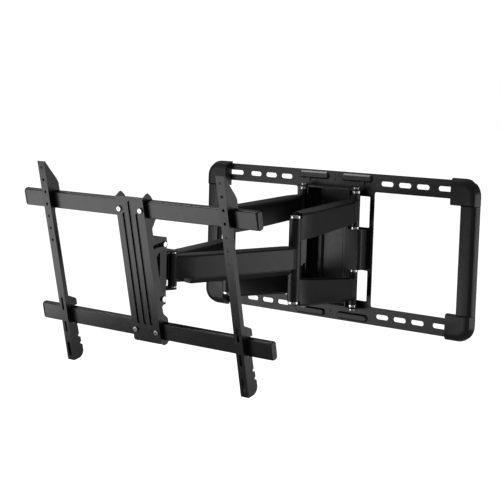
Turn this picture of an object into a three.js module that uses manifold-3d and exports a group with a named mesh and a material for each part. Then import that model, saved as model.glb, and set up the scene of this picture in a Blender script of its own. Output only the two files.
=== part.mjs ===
// Full motion wall mount for a large flat television. Millimetres, +X to the right along the wall, -Y into the
// room, +Z up. The origin is the centre of the wall plate's back face, so the wall is the plane Y = 0.
import * as THREE from "three";
import { mergeVertices } from "three/addons/utils/BufferGeometryUtils.js";
import Module from "manifold-3d";

const wasm = await Module();
wasm.setup();

// ---- Driving dimensions ----
const GAP = 0.3; // clearance between pieces that touch
const WALL_SHEET = 3;
const PLATE_HALF_LENGTH = 398;
const PLATE_HALF_HEIGHT = 189;
const RAIL_INNER_EDGE = 144; // height at which the slotted rails end and the side windows start
const PANEL_HALF_WIDTH = 118;
const SLOT_PITCH = 50.8;
const FIRST_SLOT = 154;
const SLOT_LEVEL = 166;
const COVER_HALF_LENGTH = 412;
const COVER_HALF_HEIGHT = 194;
const COVER_DEPTH = 24;
const SIDE_COVER_DEPTH = 20;
const SIDE_COVER_INNER = 367;
const CORNER_COVER_END = 130;

const SHOULDER = { x: 80, y: -26 };
const ELBOW_X = 98;
const HEAD_PIN_X = 15;
const REAR_ARM = 275; // shoulder to elbow
const FORE_ARM = 340; // elbow to head pin
const ELBOW_Y = SHOULDER.y - Math.sqrt(REAR_ARM ** 2 - (ELBOW_X - SHOULDER.x) ** 2);
const HEAD_PIN_Y = ELBOW_Y - Math.sqrt(FORE_ARM ** 2 - (ELBOW_X - HEAD_PIN_X) ** 2);
const OUTER_EAR = 150; // top of the outer ear of a pivot bracket
const INNER_EAR = 50; // top of the middle tab of a pivot bracket
const EAR_SHEET = 4;
const SHOULDER_PIN_R = 5;
const SHOULDER_BARREL_R = 10.5;
const BUSHING_HEIGHT = 6;
const ELBOW_BARREL_R = 15;
const ELBOW_SHAFT_R = 6;
const ELBOW_SEAM = 40; // height where a rear arm's barrel meets the forearm's
const ELBOW_TOP = 103;
const ELBOW_WASHER_R = 13;
const REAR_ARM_HALF_WIDTH = 22.5;
const REAR_ARM_TOP = { shoulder: 127.5, elbow: 109.5 };
const REAR_ARM_BOTTOM = { shoulder: 73, elbow: 46 };
const REAR_ARM_SHOULDER = { height: 6.5, width: 9 }; // the rounded upper edges
const ARM_SHEET = 3;
const FOREARM_HALF_WIDTH = 20;
const FOREARM_TOP = 32;
const FOREARM_BOTTOM = -19;
const FOREARM_SHOULDER = { height: 5, width: 7 };
const HEAD_BARREL_R = 10.2;
const HEAD_PIN_R = 4.5;
const OPEN_PIVOT_R = 7.6; // the right forearm's bore, wider than its pin

const SWIVEL_Y = HEAD_PIN_Y - 25;
const HUB_LEVEL = 39; // underside of the hub's top plate
const HEAD_FLANGE = 3; // thickness of the flange on a head pin, under the hub's plate
const SWIVEL_BARREL_R = 14;
const SWIVEL_PIN_R = 7;
const YOKE_BACK = SWIVEL_Y - 18;
const YOKE_HALF_WIDTH = 36;
const YOKE_SHEET = 3;
const BOLT_Y = SWIVEL_Y - 30;
const PIVOT_BOLT_Z = -55;
const LOCK_BOLT_Z = 62;
const PIVOT_BOLT_R = 5;
const LOCK_BOLT_R = 4;

const TILT = 12; // degrees that the television leans forward
const TILT_LIMITS = { back: -2, forward: 13 };
const TV_ORIGIN = { y: SWIVEL_Y - 57.5, z: 7.6 }; // a point on the rails' front faces
const TV_PLATE = { halfWidth: 39.5, top: 161, bottom: -162, front: 9.5, sheet: 3, wall: 2.5 };
const GROOVE = { pitch: 18.5, width: 9.5, depth: 2.8 };
const RAIL = { height: 37.5, depth: 14, sheet: 2.5, halfLength: 328 };
const RAIL_LEVEL = { upper: 133.2, lower: -136.8 };
const END_CAP = 4;
const BRACKET = { left: -248, right: 259, halfWidth: 10.3, front: 13.5, sheet: 2.5, top: 223, bottom: -242 };
const HOLE_PITCH = 27.5;
const LOCK_SCREW_Y = 6;

const ROUND = 16; // sides of a pin or barrel
const SMALL_ROUND = 10; // sides of a small hole

// ---- Materials ----
const paint = (color, roughness, metalness) => new THREE.MeshStandardMaterial({ color, roughness, metalness });
const BLACK_STEEL = 0x2b2b2c;
const BLACK_PLASTIC = 0x202021;
const CHROME = 0xd8d8da;
const steel = () => paint(BLACK_STEEL, 0.55, 0.5);
const plastic = () => paint(BLACK_PLASTIC, 0.45, 0);
const chrome = () => paint(CHROME, 0.15, 1);

// ---- Solids ----
function solid(geometry) {
  const g = geometry.index ? geometry.toNonIndexed() : geometry.clone();
  g.deleteAttribute("normal");
  g.deleteAttribute("uv");
  const merged = mergeVertices(g, 1e-4);
  return new wasm.Manifold(
    new wasm.Mesh({
      numProp: 3,
      vertProperties: merged.attributes.position.array,
      triVerts: new Uint32Array(merged.index.array),
    }),
  );
}

function geometryOf(made) {
  const mesh = made.getMesh();
  const positions = new Float32Array(mesh.numVert * 3);
  for (let i = 0; i < mesh.numVert; i++) {
    positions.set(mesh.vertProperties.subarray(i * mesh.numProp, i * mesh.numProp + 3), i * 3);
  }
  return new THREE.BufferGeometry()
    .setAttribute("position", new THREE.BufferAttribute(positions, 3))
    .setIndex(new THREE.BufferAttribute(mesh.triVerts, 1));
}

const join = (...solids) => solids.reduce((a, b) => a.add(b));
const cut = (base, ...tools) => tools.reduce((a, b) => a.subtract(b), base);

// A block between two corners.
function block(x0, x1, y0, y1, z0, z1) {
  const g = new THREE.BoxGeometry(x1 - x0, y1 - y0, z1 - z0);
  return solid(g.translate((x0 + x1) / 2, (y0 + y1) / 2, (z0 + z1) / 2));
}

// A rod along one axis, from a to b, centred at the other two coordinates.
function rod(axis, r, a, b, u, v, sides = ROUND) {
  const g = new THREE.CylinderGeometry(r, r, b - a, sides);
  const middle = (a + b) / 2;
  if (axis === "x") return solid(g.rotateZ(-Math.PI / 2).translate(middle, u, v));
  if (axis === "y") return solid(g.translate(u, middle, v));
  return solid(g.rotateX(Math.PI / 2).translate(u, v, middle));
}

// The directions that an outline's own x, y and depth take up.
const PLANES = {
  xy: [new THREE.Vector3(1, 0, 0), new THREE.Vector3(0, 1, 0), new THREE.Vector3(0, 0, 1)],
  yz: [new THREE.Vector3(0, 1, 0), new THREE.Vector3(0, 0, 1), new THREE.Vector3(1, 0, 0)],
  xz: [new THREE.Vector3(1, 0, 0), new THREE.Vector3(0, 0, 1), new THREE.Vector3(0, -1, 0)],
};

// An outline swept from depth a to depth b, its far edge bevelled. In the xz plane depth runs towards the room, along -Y.
function sweep(plane, shape, a, b, { bevel = 0, width = bevel, steps = 2, curve = 5 } = {}) {
  const g = new THREE.ExtrudeGeometry(shape, {
    depth: b - a - bevel,
    curveSegments: curve,
    bevelEnabled: bevel > 0,
    bevelThickness: bevel,
    bevelSize: width,
    bevelOffset: -width,
    bevelSegments: steps,
  });
  const made = solid(g.applyMatrix4(new THREE.Matrix4().makeBasis(...PLANES[plane])));
  const [dx, dy, dz] = PLANES[plane][2].toArray();
  return made.trimByPlane([dx, dy, dz], 0).translate([dx * a, dy * a, dz * a]);
}

const outline = (points) => new THREE.Shape(points.map(([x, y]) => new THREE.Vector2(x, y)));

// A rectangle with round corners; a radius of half its height makes a slot or a pill.
function roundRect(cx, cy, width, height, r) {
  const x0 = cx - width / 2;
  const y0 = cy - height / 2;
  const x1 = cx + width / 2;
  const y1 = cy + height / 2;
  const s = new THREE.Shape();
  s.moveTo(x0 + r, y0);
  s.lineTo(x1 - r, y0);
  s.absarc(x1 - r, y0 + r, r, -Math.PI / 2, 0, false);
  s.lineTo(x1, y1 - r);
  s.absarc(x1 - r, y1 - r, r, 0, Math.PI / 2, false);
  s.lineTo(x0 + r, y1);
  s.absarc(x0 + r, y1 - r, r, Math.PI / 2, Math.PI, false);
  s.lineTo(x0, y0 + r);
  s.absarc(x0 + r, y0 + r, r, Math.PI, Math.PI * 1.5, false);
  return s;
}

const mirrorX = (made) => made.mirror([1, 0, 0]);
const mirrorZ = (made) => made.mirror([0, 0, 1]);

const mount = new THREE.Group();

function piece(name, made, material, parent = mount) {
  const mesh = new THREE.Mesh(geometryOf(made), material);
  mesh.name = name;
  parent.add(mesh);
  return mesh;
}

// ---- Wall plate: one pressed sheet ----
function wallPlate() {
  const sheet = roundRect(0, 0, 2 * PLATE_HALF_LENGTH, 2 * PLATE_HALF_HEIGHT, 20);
  const windowEnd = SIDE_COVER_INNER + 13;
  const windowWidth = windowEnd - PANEL_HALF_WIDTH;
  for (const side of [-1, 1]) {
    const middle = side * (PANEL_HALF_WIDTH + windowWidth / 2);
    sheet.holes.push(roundRect(middle, 0, windowWidth, 2 * RAIL_INNER_EDGE, 5));
    for (const level of [-1, 1]) {
      sheet.holes.push(roundRect(side * 86, level * 92.8, 40, 77.5, 3)); // beside each rear arm's shoulder
      for (let i = 0; i < 3; i++) {
        sheet.holes.push(roundRect(side * (FIRST_SLOT + i * SLOT_PITCH), level * SLOT_LEVEL, 36, 12, 6));
      }
      sheet.holes.push(roundRect(side * 328, level * SLOT_LEVEL, 60, 12, 6));
    }
  }
  let plate = sweep("xz", sheet, 0, WALL_SHEET, { curve: 3 });
  for (const side of [-1, 1]) {
    plate = join(plate, sweep("xz", roundRect(side * 38, 0, 17, 236, 8), 1, WALL_SHEET + 6, { bevel: 4, steps: 1, curve: 3 }));
    for (const level of [-1, 1]) {
      const bead = roundRect(side * 65.5, level * 175.5, 93, 19, 9);
      plate = join(plate, sweep("xz", bead, 1, WALL_SHEET + 5, { bevel: 4, steps: 1, curve: 3 }));
    }
  }
  const dimples = [[0, SLOT_LEVEL + 2], [0, -SLOT_LEVEL - 4], [-22, -SLOT_LEVEL - 4]];
  return cut(plate, ...dimples.map(([x, z]) => rod("y", 3, -WALL_SHEET - 1, -WALL_SHEET / 2, x, z, SMALL_ROUND)));
}

function plateWithBosses() {
  let plate = wallPlate();
  for (const side of [-1, 1]) plate = join(plate, rod("y", 5.4, -6, -1, side * 83, 164, SMALL_ROUND));
  return plate;
}

piece("wall_plate", plateWithBosses(), steel());

// ---- Plastic covers over the ends of the wall plate ----
const coverOutline = (inset) =>
  roundRect(0, 0, 2 * (COVER_HALF_LENGTH - inset), 2 * (COVER_HALF_HEIGHT - inset), 40 - inset);

// Everything outside the sheet of the wall plate, where a cover can be.
const plateEnvelope = () =>
  block(-PLATE_HALF_LENGTH - GAP, PLATE_HALF_LENGTH + GAP, -WALL_SHEET - GAP, 1, -PLATE_HALF_HEIGHT - GAP, PLATE_HALF_HEIGHT + GAP);

// The room that a corner cover takes up, with both of its inner sides sloped.
function cornerRoom(inset) {
  const along = outline([[338 + inset, 1], [338 + inset, -7], [348 + inset, -40], [500, -40], [500, 1]]);
  const up = outline([
    [1, CORNER_COVER_END + GAP + inset], [-COVER_DEPTH + 6, CORNER_COVER_END + GAP + inset],
    [-40, CORNER_COVER_END + 9 + inset], [-40, 300], [1, 300],
  ]);
  return sweep("xy", along, 0, 300).intersect(sweep("yz", up, 0, 500));
}

function cornerCover() {
  const outer = sweep("xz", coverOutline(0), 0, COVER_DEPTH, { bevel: 16, width: 19, steps: 2, curve: 4 });
  const inner = sweep("xz", coverOutline(3), -1, COVER_DEPTH - 3, { bevel: 16, width: 19, steps: 2, curve: 4 });
  return cut(outer.intersect(cornerRoom(0)), inner.intersect(cornerRoom(3)), plateEnvelope());
}

function sideCover() {
  const ring = (inset) => {
    const x0 = SIDE_COVER_INNER + inset;
    const x1 = COVER_HALF_LENGTH - inset;
    const y = -SIDE_COVER_DEPTH + inset;
    return outline([
      [x0, 1], [x0, y + 5], [x0 + 4, y], [x1 - 14, y], [x1 - 5, y + 4], [x1 - 1, y + 10], [x1, y + 16], [x1, 1],
    ]);
  };
  const end = CORNER_COVER_END;
  return cut(
    sweep("xy", ring(0), -end, end),
    sweep("xy", ring(3), -end + 3, end - 3),
    plateEnvelope(),
    block(300, 500, 0, 5, -200, 200),
  );
}

const corner = cornerCover();
piece("upper_right_corner_cover", corner, plastic());
piece("upper_left_corner_cover", mirrorX(corner), plastic());
piece("lower_right_corner_cover", mirrorZ(corner), plastic());
piece("lower_left_corner_cover", mirrorZ(mirrorX(corner)), plastic());
piece("right_side_cover", sideCover(), plastic());
piece("left_side_cover", mirrorX(sideCover()), plastic());

// ---- Pivot brackets: folded steel, one on each side of the middle panel ----
function pivotBracket() {
  const back = -WALL_SHEET - GAP;
  const ear = outline([[GAP / 2, back], [GAP / 2, -33], [61, -33], [67, -39], [74, -41], [86, -41], [92, -37], [94, -30], [94, back]]);
  const corner = [[94, -38], [99, -36.5], [102.5, -33], [104, -28]]; // the rounded corner of the middle box
  const tab = outline([[58, -30], [58, -38], ...corner, [104, back], [61, back], [61, -30]]);
  const inside = [[101, -28], [100, -31.3], [97.7, -33.8], [94, -35]];
  const box = outline([[58, -35], [58, -38], ...corner, [104, back], [101, back], ...inside]);
  let made = join(
    block(61, 64, -34, back, -OUTER_EAR, OUTER_EAR),
    block(48, 64, back - 3, back, -OUTER_EAR + 12, OUTER_EAR - 12),
    sweep("xy", box, -INNER_EAR, INNER_EAR),
  );
  for (const level of [-1, 1]) {
    const flip = (m) => (level > 0 ? m : mirrorZ(m));
    made = join(
      made,
      flip(sweep("xy", ear, OUTER_EAR - EAR_SHEET, OUTER_EAR)),
      flip(sweep("xy", tab, INNER_EAR - EAR_SHEET, INNER_EAR)),
    );
  }
  return cut(made, rod("z", SHOULDER_PIN_R + GAP, -200, 200, SHOULDER.x, SHOULDER.y));
}

function shoulderPin() {
  return join(
    rod("z", SHOULDER_PIN_R, INNER_EAR - EAR_SHEET - 2, OUTER_EAR + 2, SHOULDER.x, SHOULDER.y),
    rod("z", 9, OUTER_EAR + GAP, OUTER_EAR + 4.3, SHOULDER.x, SHOULDER.y),
    rod("z", 7.5, INNER_EAR - EAR_SHEET - 3, INNER_EAR - EAR_SHEET - GAP, SHOULDER.x, SHOULDER.y),
  );
}

function bushing(z0) {
  return cut(
    rod("z", SHOULDER_BARREL_R + 0.5, z0, z0 + BUSHING_HEIGHT, SHOULDER.x, SHOULDER.y),
    rod("z", SHOULDER_PIN_R + GAP, z0 - 1, z0 + BUSHING_HEIGHT + 1, SHOULDER.x, SHOULDER.y),
  );
}

const OUTER_BUSHING = OUTER_EAR - EAR_SHEET - GAP - BUSHING_HEIGHT;
const INNER_BUSHING = INNER_EAR + GAP;
const sides = { right: (m) => m, left: mirrorX };
const levels = { upper: (m) => m, lower: mirrorZ };

for (const [side, place] of Object.entries(sides)) {
  piece(side + "_pivot_bracket", place(pivotBracket()), steel());
  for (const [level, flip] of Object.entries(levels)) {
    piece(`${level}_${side}_shoulder_pin`, flip(place(shoulderPin())), chrome());
    piece(`${level}_${side}_outer_bushing`, flip(place(bushing(OUTER_BUSHING))), chrome());
    piece(`${level}_${side}_inner_bushing`, flip(place(bushing(INNER_BUSHING))), chrome());
  }
}

// ---- Arms: each is drawn with its first pivot on the Z axis and its length along -Y, then swung into place ----
const REAR_ANGLE = THREE.MathUtils.radToDeg(Math.asin((ELBOW_X - SHOULDER.x) / REAR_ARM));
const FORE_ANGLE = -THREE.MathUtils.radToDeg(Math.asin((ELBOW_X - HEAD_PIN_X) / FORE_ARM));
const swing = (made, angle, x, y) => made.rotate([0, 0, angle]).translate([x, y, 0]);

// A channel open on its underside: a plan outline swept upwards from z0, its upper edges rounded, then hollowed.
function channel(half, z0, z1, sheet, shoulder, hollowStart) {
  const plan = (list) => outline([...list, ...list.map(([w, y]) => [-w, y]).reverse()]);
  const inner = half.slice(1).map(([w, d]) => [w - sheet, -d]);
  const [w0, d0] = half[1];
  const [w1, d1] = half[2];
  inner[0] = [w0 + ((w1 - w0) * (hollowStart - d0)) / (d1 - d0) - sheet, -hollowStart];
  inner[inner.length - 1][1] += sheet;
  const { height, width } = shoulder;
  return cut(
    sweep("xy", plan(half.map(([w, d]) => [w, -d])), z0, z1, { bevel: height, width, steps: 2 }),
    sweep("xy", plan(inner), z0 - 1, z1 - sheet, { bevel: height - 1, width: width - 3, steps: 1 }),
  );
}

function rearArm() {
  const slope = (REAR_ARM_TOP.shoulder - REAR_ARM_TOP.elbow) / REAR_ARM;
  const w = REAR_ARM_HALF_WIDTH;
  const plan = [[9.6, 1], [9.6, 10], [w, 48], [w, REAR_ARM - 45], [14, REAR_ARM - 4]];
  const box = channel(plan, -80, 0, ARM_SHEET, REAR_ARM_SHOULDER, 22);
  const sloped = box.transform([1, 0, 0, 0, 0, 1, slope, 0, 0, 0, 1, 0, 0, 0, REAR_ARM_TOP.shoulder, 1]);
  const bottom = (d) => REAR_ARM_BOTTOM.shoulder - ((REAR_ARM_BOTTOM.shoulder - REAR_ARM_BOTTOM.elbow) * d) / REAR_ARM;
  const below = outline([[10, bottom(-10)], [10, -50], [-REAR_ARM - 10, -50], [-REAR_ARM - 10, bottom(REAR_ARM + 10)]]);
  const barrelTop = ELBOW_TOP - 6;
  const made = join(
    cut(sloped, sweep("yz", below, -40, 40), rod("z", ELBOW_BARREL_R + 1, barrelTop, 130, 0, -REAR_ARM)),
    rod("z", SHOULDER_BARREL_R, INNER_BUSHING + BUSHING_HEIGHT + GAP, OUTER_BUSHING - GAP, 0, 0),
    rod("z", ELBOW_BARREL_R, ELBOW_SEAM, barrelTop, 0, -REAR_ARM),
  );
  return cut(
    made,
    rod("z", SHOULDER_PIN_R + GAP, 0, 200, 0, 0),
    rod("z", ELBOW_SHAFT_R + GAP, 0, 200, 0, -REAR_ARM),
  );
}

function elbowShaft() {
  return rod("z", ELBOW_SHAFT_R, -ELBOW_TOP - 1, ELBOW_TOP + 1, ELBOW_X, ELBOW_Y);
}

function elbowWasher() {
  return cut(
    rod("z", ELBOW_WASHER_R, ELBOW_TOP - 6 + GAP, ELBOW_TOP, ELBOW_X, ELBOW_Y),
    rod("z", ELBOW_SHAFT_R + GAP, 0, 200, ELBOW_X, ELBOW_Y),
  );
}

function forearm(headBore) {
  const w = FOREARM_HALF_WIDTH;
  const half = [[13.5, 6], [13.5, 8], [w, 26], [w, FORE_ARM - 52], [HEAD_BARREL_R - 0.6, FORE_ARM - 2]];
  const reach = ELBOW_SEAM - GAP;
  const made = join(
    channel(half, FOREARM_BOTTOM, FOREARM_TOP, ARM_SHEET, FOREARM_SHOULDER, 14),
    rod("z", ELBOW_BARREL_R, -reach, reach, 0, 0),
    rod("z", HEAD_BARREL_R, -HUB_LEVEL + HEAD_FLANGE + GAP, HUB_LEVEL - HEAD_FLANGE - GAP, 0, -FORE_ARM),
    sweep("xy", outline([[-9, -FORE_ARM], [-14, -FORE_ARM + 22], [14, -FORE_ARM + 22], [9, -FORE_ARM]]), -26, FOREARM_BOTTOM + 6),
  );
  return cut(
    made,
    rod("z", ELBOW_SHAFT_R + GAP, -200, 200, 0, 0),
    rod("z", headBore, -200, 200, 0, -FORE_ARM),
  );
}

// The snap-in cover closes the underside of a forearm and leaves a tunnel for cables.
function cableCover() {
  const w = FOREARM_HALF_WIDTH;
  const top = FOREARM_BOTTOM - GAP;
  const trough = (inset) => outline([
    [-w + inset, top + 5 * Math.sign(inset)], [-w + inset, top - 3], [-w + 8 + inset, -32 + inset],
    [w - 8 - inset, -32 + inset], [w - inset, top - 3], [w - inset, top + 5 * Math.sign(inset)],
  ]);
  const run = (inset) => sweep("xz", trough(inset), 24 + inset, FORE_ARM - 40 - inset);
  return cut(run(0), run(2.5));
}

for (const [side, place] of Object.entries(sides)) {
  for (const [level, flip] of Object.entries(levels)) {
    piece(`${level}_${side}_rear_arm`, flip(place(swing(rearArm(), REAR_ANGLE, SHOULDER.x, SHOULDER.y))), steel());
    piece(`${level}_${side}_elbow_washer`, flip(place(elbowWasher())), chrome());
  }
  piece(side + "_elbow_shaft", place(elbowShaft()), chrome());
  const bore = side === "right" ? OPEN_PIVOT_R : HEAD_PIN_R + GAP;
  piece(side + "_forearm", place(swing(forearm(bore), FORE_ANGLE, ELBOW_X, ELBOW_Y)), steel());
  piece(side + "_cable_cover", place(swing(cableCover(), FORE_ANGLE, ELBOW_X, ELBOW_Y)), plastic());
}

// ---- Head: the hub that joins both forearms, and the yoke that turns on it ----
const HUB_SHEET = 4;
const HUB_TOP = HUB_LEVEL + HUB_SHEET;

function headPin() {
  return join(
    rod("z", HEAD_PIN_R, -HUB_TOP - 0.5, HUB_TOP + 0.5, HEAD_PIN_X, HEAD_PIN_Y),
    rod("z", 9, HUB_LEVEL - HEAD_FLANGE, HUB_LEVEL - GAP, HEAD_PIN_X, HEAD_PIN_Y),
    rod("z", 9, -HUB_LEVEL + GAP, -HUB_LEVEL + HEAD_FLANGE, HEAD_PIN_X, HEAD_PIN_Y),
  );
}

function swivelHub() {
  const plate = (z0, z1) =>
    wasm.Manifold.hull([
      rod("z", 10, z0, z1, -HEAD_PIN_X, HEAD_PIN_Y),
      rod("z", 10, z0, z1, HEAD_PIN_X, HEAD_PIN_Y),
      rod("z", 16, z0, z1, 0, SWIVEL_Y),
    ]);
  return cut(
    join(plate(HUB_LEVEL, HUB_TOP), plate(-HUB_TOP, -HUB_LEVEL), rod("z", SWIVEL_BARREL_R, -HUB_LEVEL - 1, HUB_LEVEL + 1, 0, SWIVEL_Y)),
    rod("z", SWIVEL_PIN_R + GAP, -200, 200, 0, SWIVEL_Y),
    rod("z", HEAD_PIN_R + GAP, -200, 200, HEAD_PIN_X, HEAD_PIN_Y),
    rod("z", HEAD_PIN_R + GAP, -200, 200, -HEAD_PIN_X, HEAD_PIN_Y),
  );
}

const TAB_TOP = HUB_TOP + GAP + 4;

function swivelPin() {
  return join(
    rod("z", SWIVEL_PIN_R, -TAB_TOP - 2, TAB_TOP + 2, 0, SWIVEL_Y),
    rod("z", 11, TAB_TOP + GAP, TAB_TOP + 4, 0, SWIVEL_Y),
    rod("z", 11, -TAB_TOP - 4, -TAB_TOP - GAP, 0, SWIVEL_Y),
  );
}

function tiltYoke() {
  const front = YOKE_BACK - 20;
  const sheet = YOKE_SHEET;
  let made = join(
    block(-YOKE_HALF_WIDTH, YOKE_HALF_WIDTH, YOKE_BACK - 4, YOKE_BACK, -68, 76),
    block(YOKE_HALF_WIDTH - sheet, YOKE_HALF_WIDTH, front, YOKE_BACK, -68, 76),
    block(-YOKE_HALF_WIDTH, -YOKE_HALF_WIDTH + sheet, front, YOKE_BACK, -68, 76),
    block(-YOKE_HALF_WIDTH, YOKE_HALF_WIDTH, front, YOKE_BACK, 73, 76),
  );
  for (const z of [HUB_TOP + GAP, -TAB_TOP]) {
    const tab = wasm.Manifold.hull([
      rod("z", 13, z, z + 4, 0, SWIVEL_Y),
      block(-18, 18, YOKE_BACK - 2, YOKE_BACK + 1, z, z + 4),
    ]);
    made = join(made, tab);
  }
  return cut(
    made,
    rod("z", SWIVEL_PIN_R + GAP, -60, 60, 0, SWIVEL_Y),
    rod("x", PIVOT_BOLT_R + GAP, -60, 60, BOLT_Y, PIVOT_BOLT_Z),
    rod("x", LOCK_BOLT_R + GAP, -60, 60, BOLT_Y, LOCK_BOLT_Z),
  );
}

piece("right_head_pin", headPin(), chrome());
piece("left_head_pin", mirrorX(headPin()), chrome());
piece("swivel_hub", swivelHub(), steel());
piece("swivel_pin", swivelPin(), chrome());
piece("tilt_yoke", tiltYoke(), steel());

const cheek = TV_PLATE.halfWidth;
piece("tilt_pivot_bolt", join(
  rod("x", PIVOT_BOLT_R, -cheek - 2, cheek + 2, BOLT_Y, PIVOT_BOLT_Z),
  rod("x", 6.6, cheek + GAP, cheek + 4, BOLT_Y, PIVOT_BOLT_Z, 6),
  rod("x", 6.6, -cheek - 4, -cheek - GAP, BOLT_Y, PIVOT_BOLT_Z, 6),
), chrome());
piece("tilt_lock_bolt", join(
  rod("x", LOCK_BOLT_R, -cheek - 30, cheek + 2, BOLT_Y, LOCK_BOLT_Z),
  rod("x", 6.2, cheek + GAP, cheek + 4, BOLT_Y, LOCK_BOLT_Z, 6),
), chrome());
piece("tilt_knob", cut(
  join(
    rod("x", 7.5, -cheek - 27, -cheek - GAP, BOLT_Y, LOCK_BOLT_Z),
    sweep("yz", roundRect(BOLT_Y, LOCK_BOLT_Z, 17, 50, 8.5), -cheek - 38, -cheek - 26, { curve: 3 }),
  ),
  rod("x", LOCK_BOLT_R + GAP, -cheek - 30 - GAP, 0, BOLT_Y, LOCK_BOLT_Z),
), plastic());

// ---- Television side: drawn upright, y = 0 on the front faces of the two long rails, then tilted ----
const tv = new THREE.Group();
tv.position.set(0, TV_ORIGIN.y, TV_ORIGIN.z);
tv.rotation.x = THREE.MathUtils.degToRad(TILT);
mount.add(tv);

// Where a point of the head is in the tilted frame: y backwards from the rails' front faces, z up along them.
function inTiltedFrame(y, z) {
  const b = THREE.MathUtils.degToRad(TILT);
  const dy = y - TV_ORIGIN.y;
  const dz = z - TV_ORIGIN.z;
  return { y: dy * Math.cos(b) + dz * Math.sin(b), z: -dy * Math.sin(b) + dz * Math.cos(b) };
}
const PIVOT = inTiltedFrame(BOLT_Y, PIVOT_BOLT_Z);
const SLOT_RADIUS = LOCK_BOLT_Z - PIVOT_BOLT_Z;

// The arc that the lock bolt follows in the cheeks as the television tilts.
function tiltSlot() {
  const parts = [];
  const steps = 7;
  const play = 0.6; // degrees past each limit
  for (let i = 0; i <= steps; i++) {
    const travel = TILT_LIMITS.forward - TILT_LIMITS.back + 2 * play;
    const b = THREE.MathUtils.degToRad(TILT_LIMITS.back - play + (travel * i) / steps);
    parts.push(rod("x", LOCK_BOLT_R + 0.6, -60, 60, PIVOT.y + SLOT_RADIUS * Math.sin(b), PIVOT.z + SLOT_RADIUS * Math.cos(b), SMALL_ROUND));
  }
  return join(...parts.slice(1).map((p, i) => wasm.Manifold.hull([parts[i], p])));
}

function tvPlate() {
  const { halfWidth, top, bottom, front, sheet, wall } = TV_PLATE;
  const middle = (top + bottom) / 2;
  let made = sweep("xz", roundRect(0, middle, 2 * halfWidth, top - bottom, 4), front - sheet, front, { curve: 2 });
  for (const [x, upper] of [[-GROOVE.pitch, 126], [0, 152], [GROOVE.pitch, 126]]) {
    const run = (width) => roundRect(x, (upper - 122) / 2, width, upper + 122, width / 2);
    const rib = sweep("xz", run(GROOVE.width + 2), front - sheet - GROOVE.depth, front - 1, { curve: 3 });
    made = cut(join(made, rib), sweep("xz", run(GROOVE.width), front - GROOVE.depth, front + 1, { curve: 3 }));
  }
  const side = outline([
    [-front, top - 1.5], [-4, top + 1], [4, top + 5], [10, top + 5], [17, 158], [22, 148], [22.5, 106], [9, 90], [9, 72],
    [20, 67], [42, 61], [48.5, 55], [48.5, 42], [43, 37], [27, 36], [18, 33], [10.5, 28], [10.5, -10], [13.5, -51], [22, -57],
    [24.5, -66], [21, -75], [8, -83], [9, -98], [20.5, -112], [20.5, -150], [15, -162], [8, -167], [-1, -167],
    [-front, bottom + 1.5],
  ]);
  made = join(made, sweep("yz", side, halfWidth - wall, halfWidth), sweep("yz", side, -halfWidth, -halfWidth + wall));
  const hole = RAIL.height / 2 + GAP;
  for (const level of Object.values(RAIL_LEVEL)) {
    made = cut(made, block(-60, 60, -GAP, RAIL.depth + GAP, level - hole, level + hole));
    for (const x of [-30, 30]) made = cut(made, rod("y", 2.5 + GAP, -20, 5, x, level, SMALL_ROUND));
  }
  for (const [x, z] of [[-20, -134], [17, -134], [0, -156]]) made = cut(made, rod("y", 2, -front - 1, -front + 1, x, z, 8));
  return cut(made, rod("x", PIVOT_BOLT_R + GAP, -60, 60, PIVOT.y, PIVOT.z), tiltSlot());
}

function tvRail(level) {
  const h = RAIL.height / 2;
  const shape = outline([
    [0, level - h + 1.5], [1.5, level - h], [RAIL.depth, level - h], [RAIL.depth, level - h + RAIL.sheet],
    [RAIL.sheet, level - h + RAIL.sheet], [RAIL.sheet, level + h - RAIL.sheet], [RAIL.depth, level + h - RAIL.sheet],
    [RAIL.depth, level + h], [1.5, level + h], [0, level + h - 1.5],
  ]);
  let made = sweep("yz", shape, -RAIL.halfLength, RAIL.halfLength);
  for (const x of [-30, 30]) made = cut(made, rod("y", 2.5 + GAP, -5, 5, x, level, SMALL_ROUND));
  return made;
}

function endCap(level) {
  const h = RAIL.height / 2 - RAIL.sheet - GAP;
  const x = RAIL.halfLength;
  return join(
    sweep("yz", roundRect(8, level, 18, RAIL.height + 2, 7), x + GAP, x + END_CAP, { bevel: 1.5, steps: 1, curve: 3 }),
    block(x - 14, x + 1, RAIL.sheet + GAP, RAIL.depth - 0.5, level - h, level + h),
  );
}

function plateScrew(x, level) {
  const face = TV_PLATE.front + GAP;
  const made = join(
    rod("y", 2.5, -face - 1, 9, x, level, SMALL_ROUND),
    sweep("xz", roundRect(x, level, 13, 13, 6.5), face, face + 3.4, { bevel: 2.2, steps: 2, curve: 4 }),
  );
  return cut(made, rod("y", 2, -face - 5, -face - 1.6, x, level, 6));
}

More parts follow.
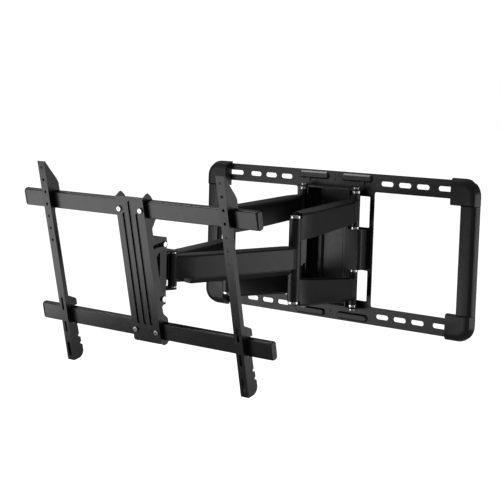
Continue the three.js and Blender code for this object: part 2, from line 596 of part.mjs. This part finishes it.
function tvBracket(x) {
  const { halfWidth, front, sheet, top, bottom } = BRACKET;
  const reach = RAIL.height / 2 + 0.5;
  const { upper, lower } = RAIL_LEVEL;
  const behind = RAIL.depth + 0.6;
  const web = outline([
    [-front, top], [-10, top], [3, 200], [16, 178], [20, 168], [20, 141], [behind, 141], [behind, upper + reach],
    [-0.6, upper + reach], [-0.6, upper - reach], [-2, 108], [-2, -89], [18, -101], [20.5, -105], [20.5, lower + reach],
    [-0.6, lower + reach], [-0.6, lower - reach], [12, lower - reach - 2], [13, -186], [9.5, -188], [9.5, -191], [15.5, -194],
    [16, -205], [12.5, -207], [12.5, -210], [18, -213], [18.5, -228], [15, -236], [8, -241], [2, bottom], [-front, bottom],
  ]);
  let made = join(
    sweep("xz", roundRect(x, (top + bottom) / 2, 2 * halfWidth, top - bottom, 3), front - sheet, front, { curve: 2 }),
    sweep("yz", web, x + halfWidth - sheet, x + halfWidth),
    sweep("yz", web, x - halfWidth, x - halfWidth + sheet),
    block(x - halfWidth + 1, x + halfWidth - 1, -front + 1, 12, -182, -179),
  );
  for (let i = 0; i < 7; i++) made = cut(made, rod("y", 3.4, -front - 5, -front + 5, x, 209 - i * HOLE_PITCH, SMALL_ROUND));
  for (const [z0, z1, w] of [[-122, -91, 6], [-174, -148, 6], [-232, -198, 8]]) {
    made = cut(made, sweep("xz", roundRect(x, (z0 + z1) / 2, w, z1 - z0, 2.9), front - 5, front + 5, { curve: 3 }));
  }
  return cut(made, rod("z", 2.5 + GAP, -200, -170, x, LOCK_SCREW_Y, SMALL_ROUND));
}

// The screw that clamps a bracket in place: it rises through the bracket's shelf towards the lower rail's underside.
function lockScrew(x) {
  return join(
    rod("z", 2.5, -186, RAIL_LEVEL.lower - RAIL.height / 2 - GAP, x, LOCK_SCREW_Y, SMALL_ROUND),
    rod("z", 4.5, -189, -182 - GAP, x, LOCK_SCREW_Y, SMALL_ROUND),
  );
}

piece("tv_plate", tvPlate(), steel(), tv);
for (const [name, level] of Object.entries(RAIL_LEVEL)) {
  piece(name + "_rail", tvRail(level), steel(), tv);
  piece(`${name}_right_end_cap`, endCap(level), plastic(), tv);
  piece(`${name}_left_end_cap`, mirrorX(endCap(level)), plastic(), tv);
  piece(`${name}_right_plate_screw`, plateScrew(30, level), chrome(), tv);
  piece(`${name}_left_plate_screw`, plateScrew(-30, level), chrome(), tv);
}
for (const [side, x] of [["right", BRACKET.right], ["left", BRACKET.left]]) {
  piece(side + "_tv_bracket", tvBracket(x), steel(), tv);
  piece(side + "_lock_screw", lockScrew(x), chrome(), tv);
}

export default mount;
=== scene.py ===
import math

import bpy
from mathutils import Matrix, Vector


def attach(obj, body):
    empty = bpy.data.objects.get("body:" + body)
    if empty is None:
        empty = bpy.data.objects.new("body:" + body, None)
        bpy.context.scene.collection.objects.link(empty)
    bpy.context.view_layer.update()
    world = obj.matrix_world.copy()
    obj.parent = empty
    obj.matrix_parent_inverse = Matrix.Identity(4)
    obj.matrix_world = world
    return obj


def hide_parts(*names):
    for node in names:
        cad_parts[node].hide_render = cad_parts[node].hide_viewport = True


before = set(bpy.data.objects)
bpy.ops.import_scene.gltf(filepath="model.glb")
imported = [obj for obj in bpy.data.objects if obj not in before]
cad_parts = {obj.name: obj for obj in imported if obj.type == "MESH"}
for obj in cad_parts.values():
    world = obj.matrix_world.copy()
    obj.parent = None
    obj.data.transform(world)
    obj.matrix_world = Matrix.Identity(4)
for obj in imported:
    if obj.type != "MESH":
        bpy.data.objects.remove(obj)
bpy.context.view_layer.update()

# ---- Wall plate ----
# One sheet of 3 mm steel, punched with stud slots and windows and pressed with stiffening beads, then
# powder coated satin black. Its sheared edges are slightly rounded by the coating.
MM = 0.001
SHEEN = 0.5
MOTTLE = 0.18
CORNER_ANGLE, SMOOTH_ANGLE = math.radians(28), math.radians(38)
FLAT_ANGLE = math.radians(0.5)
COAT_GRAIN = (0.0011, 0.000015)


def select_only(piece):
    bpy.ops.object.select_all(action="DESELECT")
    piece.select_set(True)
    bpy.context.view_layer.objects.active = piece


def apply_modifiers(piece):
    select_only(piece)
    for modifier in list(piece.modifiers):
        bpy.ops.object.modifier_apply(modifier=modifier.name)


def soften(piece, radius, segments=2):
    """Rounds every sharp edge of a piece and shades the rest smoothly."""
    select_only(piece)
    bevel = piece.modifiers.new("rounded_edges", "BEVEL")
    bevel.width = radius
    bevel.segments = segments
    bevel.limit_method = "ANGLE"
    bevel.angle_limit = CORNER_ANGLE
    bevel.use_clamp_overlap = True
    apply_modifiers(piece)
    bpy.ops.object.shade_smooth_by_angle(angle=SMOOTH_ANGLE)
    weighted = piece.modifiers.new("even_faces", "WEIGHTED_NORMAL")
    weighted.keep_sharp = True
    weighted.weight = 60
    apply_modifiers(piece)


def merged_copy(node):
    """A copy of a part of the frame, merged into flat faces, ready to be shaped."""
    piece = bpy.data.objects.new(node + "_finished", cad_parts[node].data.copy())
    bpy.context.collection.objects.link(piece)
    piece.data.materials.clear()
    select_only(piece)
    bpy.ops.mesh.customdata_custom_splitnormals_clear()
    bpy.ops.object.mode_set(mode="EDIT")
    bpy.ops.mesh.select_all(action="SELECT")
    bpy.ops.mesh.remove_doubles(threshold=0.00001)
    bpy.ops.mesh.dissolve_limited(angle_limit=FLAT_ANGLE)
    bpy.ops.object.mode_set(mode="OBJECT")
    return piece


def fit(piece, body, material, slot, *nodes):
    """Gives a finished piece its material, its body and the parts that it stands for."""
    piece.data.materials.clear()
    piece.data.materials.append(material)
    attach(piece, body)
    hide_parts(*nodes)


def grained(name, colour, roughness, grain_size, grain_height):
    """A coated or moulded surface: faintly mottled, with a fine grain that breaks up its gloss."""
    material = bpy.data.materials.new(name)
    material.use_nodes = True
    nodes, links = material.node_tree.nodes, material.node_tree.links
    shader = nodes["Principled BSDF"]
    shader.inputs["Specular IOR Level"].default_value = SHEEN
    place = nodes.new("ShaderNodeTexCoord").outputs["Object"]

    cloud = nodes.new("ShaderNodeTexNoise")
    cloud.inputs["Scale"].default_value = 28.0
    cloud.inputs["Detail"].default_value = 5.0
    links.new(place, cloud.inputs["Vector"])
    tint = nodes.new("ShaderNodeValToRGB")
    tint.color_ramp.elements[0].position = 0.35
    tint.color_ramp.elements[1].position = 0.65
    tint.color_ramp.elements[0].color = [c * (1 - MOTTLE) for c in colour] + [1]
    tint.color_ramp.elements[1].color = [c * (1 + MOTTLE) for c in colour] + [1]
    links.new(cloud.outputs["Fac"], tint.inputs["Fac"])
    links.new(tint.outputs["Color"], shader.inputs["Base Color"])

    grain = nodes.new("ShaderNodeTexNoise")
    grain.inputs["Scale"].default_value = 1.0 / grain_size
    grain.inputs["Detail"].default_value = 2.0
    links.new(place, grain.inputs["Vector"])
    bump = nodes.new("ShaderNodeBump")
    bump.inputs["Strength"].default_value = 1.0
    bump.inputs["Distance"].default_value = grain_height
    links.new(grain.outputs["Fac"], bump.inputs["Height"])
    links.new(bump.outputs["Normal"], shader.inputs["Normal"])

    rub = nodes.new("ShaderNodeTexNoise")
    rub.inputs["Scale"].default_value = 90.0
    rub.inputs["Detail"].default_value = 6.0
    links.new(place, rub.inputs["Vector"])
    gloss = nodes.new("ShaderNodeMapRange")
    gloss.inputs["To Min"].default_value = roughness - 0.05
    gloss.inputs["To Max"].default_value = roughness + 0.07
    links.new(rub.outputs["Fac"], gloss.inputs["Value"])
    links.new(gloss.outputs["Result"], shader.inputs["Roughness"])
    return material


plate_coat = grained("wall_plate_powder_coat", (0.0090, 0.0090, 0.0094), 0.34, *COAT_GRAIN)
wall_plate = merged_copy("wall_plate")
soften(wall_plate, 0.8 * MM)
fit(wall_plate, "wall_unit", plate_coat, "wall_plate_steel", "wall_plate")

# ---- End covers ----
# Moulded covers clip over both ends of the wall plate: a corner block at each corner and a bar between two
# of them. They are satin black plastic with broad sloping shoulders and soft edges.
cover_plastic = grained("cover_satin_plastic", (0.0080, 0.0080, 0.0084), 0.30, 0.0007, 0.000015)
for side in ("left", "right"):
    for level in ("upper", "lower"):
        node = f"{level}_{side}_corner_cover"
        corner_cover = merged_copy(node)
        soften(corner_cover, 2.2 * MM, segments=3)
        fit(corner_cover, "wall_unit", cover_plastic, "cover_plastic", node)
    node = f"{side}_side_cover"
    side_cover = merged_copy(node)
    soften(side_cover, 1.5 * MM, segments=3)
    fit(side_cover, "wall_unit", cover_plastic, "cover_plastic", node)

# ---- Pivot brackets ----
# Thick steel, folded and welded to the middle of the plate. Its shelves and tabs hold the shoulder pins.
bracket_coat = grained("pivot_bracket_powder_coat", (0.0075, 0.0075, 0.0078), 0.36, *COAT_GRAIN)
for side in ("left", "right"):
    node = f"{side}_pivot_bracket"
    pivot_bracket = merged_copy(node)
    soften(pivot_bracket, 0.7 * MM)
    fit(pivot_bracket, "wall_unit", bracket_coat, "pivot_bracket_steel", node)


# ---- Shoulder pins and bushings ----
# Turned steel pins with bright zinc plating, and flanged bushings that keep the arms off the brackets.
def turned(name, colour, roughness):
    """Bright turned metal: fine rings round the part's own axis show in its roughness."""
    material = bpy.data.materials.new(name)
    material.use_nodes = True
    nodes, links = material.node_tree.nodes, material.node_tree.links
    shader = nodes["Principled BSDF"]
    shader.inputs["Metallic"].default_value = 1.0
    place = nodes.new("ShaderNodeTexCoord").outputs["Object"]
    stretch = nodes.new("ShaderNodeMapping")
    stretch.inputs["Scale"].default_value = (60, 60, 2600)
    links.new(place, stretch.inputs["Vector"])
    lines = nodes.new("ShaderNodeTexNoise")
    lines.inputs["Scale"].default_value = 1.0
    lines.inputs["Detail"].default_value = 3.0
    links.new(stretch.outputs["Vector"], lines.inputs["Vector"])
    tint = nodes.new("ShaderNodeValToRGB")
    tint.color_ramp.elements[0].position = 0.3
    tint.color_ramp.elements[1].position = 0.7
    tint.color_ramp.elements[0].color = [c * 0.86 for c in colour] + [1]
    tint.color_ramp.elements[1].color = list(colour) + [1]
    links.new(lines.outputs["Fac"], tint.inputs["Fac"])
    links.new(tint.outputs["Color"], shader.inputs["Base Color"])
    gloss = nodes.new("ShaderNodeMapRange")
    gloss.inputs["To Min"].default_value = roughness - 0.04
    gloss.inputs["To Max"].default_value = roughness + 0.08
    links.new(lines.outputs["Fac"], gloss.inputs["Value"])
    links.new(gloss.outputs["Result"], shader.inputs["Roughness"])
    return material


bright_zinc = turned("bright_zinc_plating", (0.80, 0.80, 0.82), 0.16)
for side in ("left", "right"):
    for level in ("upper", "lower"):
        for kind in ("shoulder_pin", "outer_bushing", "inner_bushing"):
            node = f"{level}_{side}_{kind}"
            hardware = merged_copy(node)
            soften(hardware, 0.5 * MM)
            fit(hardware, "wall_unit", bright_zinc, "bright_hardware", node)

# ---- Rear arms ----
# Each is a folded channel of 3 mm steel, welded to a long tube at the shoulder and a thicker one at the
# elbow.
arm_coat = grained("rear_arm_powder_coat", (0.0070, 0.0070, 0.0073), 0.33, *COAT_GRAIN)
for side in ("left", "right"):
    for level in ("upper", "lower"):
        node = f"{level}_{side}_rear_arm"
        rear_arm = merged_copy(node)
        soften(rear_arm, 1.4 * MM, segments=3)
        fit(rear_arm, f"{side}_rear_arms", arm_coat, "arm_steel", node)

# ---- Elbows ----
# A plated shaft runs through both rear arms and the forearm, with a thick washer at each end.
for side in ("left", "right"):
    for node in (f"{side}_elbow_shaft", f"upper_{side}_elbow_washer", f"lower_{side}_elbow_washer"):
        elbow_part = merged_copy(node)
        soften(elbow_part, 0.6 * MM)
        fit(elbow_part, f"{side}_rear_arms", bright_zinc, "bright_hardware", node)

# ---- Forearms ----
# A single folded channel on each side, closed underneath by a snap-in plastic trough that hides cables.
forearm_coat = grained("forearm_powder_coat", (0.0090, 0.0090, 0.0094), 0.33, *COAT_GRAIN)
trough_plastic = grained("cable_trough_plastic", (0.0060, 0.0060, 0.0063), 0.45, 0.0008, 0.00003)
for side in ("left", "right"):
    node = f"{side}_forearm"
    forearm = merged_copy(node)
    soften(forearm, 1.4 * MM, segments=3)
    fit(forearm, f"{side}_forearm", forearm_coat, "forearm_steel", node)
    node = f"{side}_cable_cover"
    trough = merged_copy(node)
    soften(trough, 0.8 * MM)
    fit(trough, f"{side}_forearm", trough_plastic, "cable_cover_plastic", node)

# ---- Head: hub and yoke ----
# The hub joins both forearms and holds one thick pin. The yoke is a deep folded box that turns on the pin
# and that the tilt bolts cross.
head_coat = grained("head_powder_coat", (0.0065, 0.0065, 0.0068), 0.36, *COAT_GRAIN)
for node, body in (("swivel_hub", "hub"), ("tilt_yoke", "yoke")):
    head_part = merged_copy(node)
    soften(head_part, 0.7 * MM)
    fit(head_part, body, head_coat, "head_steel", node)
for node, body in (
    ("left_head_pin", "hub"), ("right_head_pin", "hub"), ("swivel_pin", "hub"),
    ("tilt_pivot_bolt", "yoke"), ("tilt_lock_bolt", "yoke"),
):
    bolt = merged_copy(node)
    soften(bolt, 0.5 * MM)
    fit(bolt, body, bright_zinc, "bright_hardware", node)

# ---- Tilt knob ----
# A moulded two-winged handle on the left end of the lock bolt.
knob_plastic = grained("tilt_knob_plastic", (0.0080, 0.0080, 0.0083), 0.38, 0.0007, 0.00003)
tilt_knob = merged_copy("tilt_knob")
soften(tilt_knob, 2.0 * MM, segments=3)
fit(tilt_knob, "tilt_knob", knob_plastic, "knob_plastic", "tilt_knob")

# ---- Television plate ----
# One folded plate with pressed ribs down its face and two shaped cheeks, screwed to both rails.
tv_plate_coat = grained("tv_plate_powder_coat", (0.0095, 0.0095, 0.0099), 0.30, *COAT_GRAIN)
tv_plate = merged_copy("tv_plate")
soften(tv_plate, 0.7 * MM)
fit(tv_plate, "tv_frame", tv_plate_coat, "tv_plate_steel", "tv_plate")
# The lower plate screws get a darker, duller copy of the same zinc plating: painted shade for the dim
# lower part of the mount.
shaded_zinc = turned("zinc_plating_painted_shade", (0.34, 0.34, 0.36), 0.34)
for side in ("left", "right"):
    for level, zinc in (("upper", bright_zinc), ("lower", shaded_zinc)):
        node = f"{level}_{side}_plate_screw"
        plate_screw = merged_copy(node)
        soften(plate_screw, 0.5 * MM)
        fit(plate_screw, "tv_frame", zinc, "screw_steel", node)

# ---- Cross rails ----
# Two rolled channels, open at the back, with a moulded cap pushed into each end.
rail_coat = grained("rail_powder_coat", (0.0095, 0.0095, 0.0099), 0.28, *COAT_GRAIN)
cap_plastic = grained("rail_cap_plastic", (0.0090, 0.0090, 0.0093), 0.34, 0.0007, 0.00002)
for level in ("upper", "lower"):
    node = f"{level}_rail"
    rail = merged_copy(node)
    soften(rail, 0.8 * MM, segments=3)
    fit(rail, "tv_frame", rail_coat, "rail_steel", node)
    for side in ("left", "right"):
        node = f"{level}_{side}_end_cap"
        end_cap = merged_copy(node)
        soften(end_cap, 1.8 * MM, segments=4)
        fit(end_cap, "tv_frame", cap_plastic, "end_cap_plastic", node)

# ---- Uprights ----
# Folded channels that hook over the rails and slide along them, each with a lock screw at the lower rail.
upright_coat = grained("upright_powder_coat", (0.0090, 0.0090, 0.0094), 0.32, *COAT_GRAIN)
for side in ("left", "right"):
    node = f"{side}_tv_bracket"
    upright = merged_copy(node)
    soften(upright, 0.6 * MM)
    fit(upright, f"{side}_bracket", upright_coat, "bracket_steel", node)
    node = f"{side}_lock_screw"
    lock_screw = merged_copy(node)
    soften(lock_screw, 0.4 * MM)
    fit(lock_screw, f"{side}_bracket", bright_zinc, "bright_hardware", node)

# ---- Room ----
# A plain white floor well below the mount and white surroundings, which shed only a little light on it,
# and four soft lights: one overhead, two in front and one on the right.
FLOOR_LEVEL, FLOOR_GLOW = -0.75, 0.95
ROOM_GLOW = 0.16
bpy.ops.mesh.primitive_plane_add(size=60, location=(0, 0, FLOOR_LEVEL))
floor = bpy.context.object
floor.name = "floor"
floor.visible_diffuse = False
floor.visible_glossy = False
floor_paint = bpy.data.materials.new("pale_floor")
floor_paint.use_nodes = True
floor_shader = floor_paint.node_tree.nodes["Principled BSDF"]
floor_shader.inputs["Base Color"].default_value = (0.86, 0.86, 0.86, 1)
floor_shader.inputs["Roughness"].default_value = 0.9
floor_shader.inputs["Emission Color"].default_value = (1, 1, 1, 1)
floor_shader.inputs["Emission Strength"].default_value = FLOOR_GLOW
floor.data.materials.append(floor_paint)

scene = bpy.context.scene
world = bpy.data.worlds.new("white_room")
world.use_nodes = True
world_nodes, world_links = world.node_tree.nodes, world.node_tree.links
world_nodes["Background"].inputs["Color"].default_value = (1, 1, 1, 1)
world_nodes["Background"].inputs["Strength"].default_value = 1.0
dim_room = world_nodes.new("ShaderNodeBackground")
dim_room.inputs["Color"].default_value = (1, 1, 1, 1)
dim_room.inputs["Strength"].default_value = ROOM_GLOW
seen = world_nodes.new("ShaderNodeLightPath")
either = world_nodes.new("ShaderNodeMixShader")
world_links.new(seen.outputs["Is Camera Ray"], either.inputs["Fac"])
world_links.new(dim_room.outputs["Background"], either.inputs[1])
world_links.new(world_nodes["Background"].outputs["Background"], either.inputs[2])
world_links.new(either.outputs["Shader"], world_nodes["World Output"].inputs["Surface"])
scene.world = world
scene.view_settings.view_transform = "Standard"


def soft_light(name, middle, facing, width, height, radiance):
    """A large rectangular light at a place, facing a point, as bright as its radiance says."""
    data = bpy.data.lights.new(name, "AREA")
    data.shape = "RECTANGLE"
    data.size, data.size_y = width, height
    data.energy = radiance * math.pi * width * height
    light = bpy.data.objects.new(name, data)
    bpy.context.collection.objects.link(light)
    light.location = middle
    light.rotation_euler = (Vector(middle) - Vector(facing)).to_track_quat("Z", "Y").to_euler()
    light.visible_camera = False


soft_light("overhead_light", (-1.3, -0.6, 1.9), (0, -0.35, 0), 1.6, 1.2, 6.0)
soft_light("low_front_light", (-0.62, -1.26, -0.22), (-0.02, -0.70, 0.14), 1.3, 0.42, 2.2)
soft_light("wall_front_light", (-2.0, -2.4, -0.20), (0.1, 0, 0), 1.6, 1.1, 0.62)
soft_light("right_light", (1.35, 0.35, -0.1), (0.2, -0.5, 0), 1.0, 0.9, 1.4)

# ---- Camera ----
# Set back to the right of the mount and a little above it, with a long lens.
AZIMUTH, ELEVATION, ROLL = math.radians(38.3), math.radians(7.4), math.radians(1.5)
TARGET = Vector((-0.2658, -0.003, -0.0416))
DISTANCE = 3.4538
FOCAL_LENGTH, SENSOR_WIDTH = 92.67, 36
back = Vector((
    math.sin(AZIMUTH) * math.cos(ELEVATION), -math.cos(AZIMUTH) * math.cos(ELEVATION), math.sin(ELEVATION),
))
level_right = Vector((math.cos(AZIMUTH), math.sin(AZIMUTH), 0))
level_up = back.cross(level_right)
right = level_right * math.cos(ROLL) + level_up * math.sin(ROLL)
up = level_up * math.cos(ROLL) - level_right * math.sin(ROLL)
camera_data = bpy.data.cameras.new("camera")
camera_data.lens = FOCAL_LENGTH
camera_data.sensor_width = SENSOR_WIDTH
camera_data.clip_end = 100
camera = bpy.data.objects.new("camera", camera_data)
bpy.context.collection.objects.link(camera)
turn = Matrix((right, up, back)).transposed().to_4x4()
camera.matrix_world = Matrix.Translation(TARGET + back * DISTANCE) @ turn
scene.camera = camera
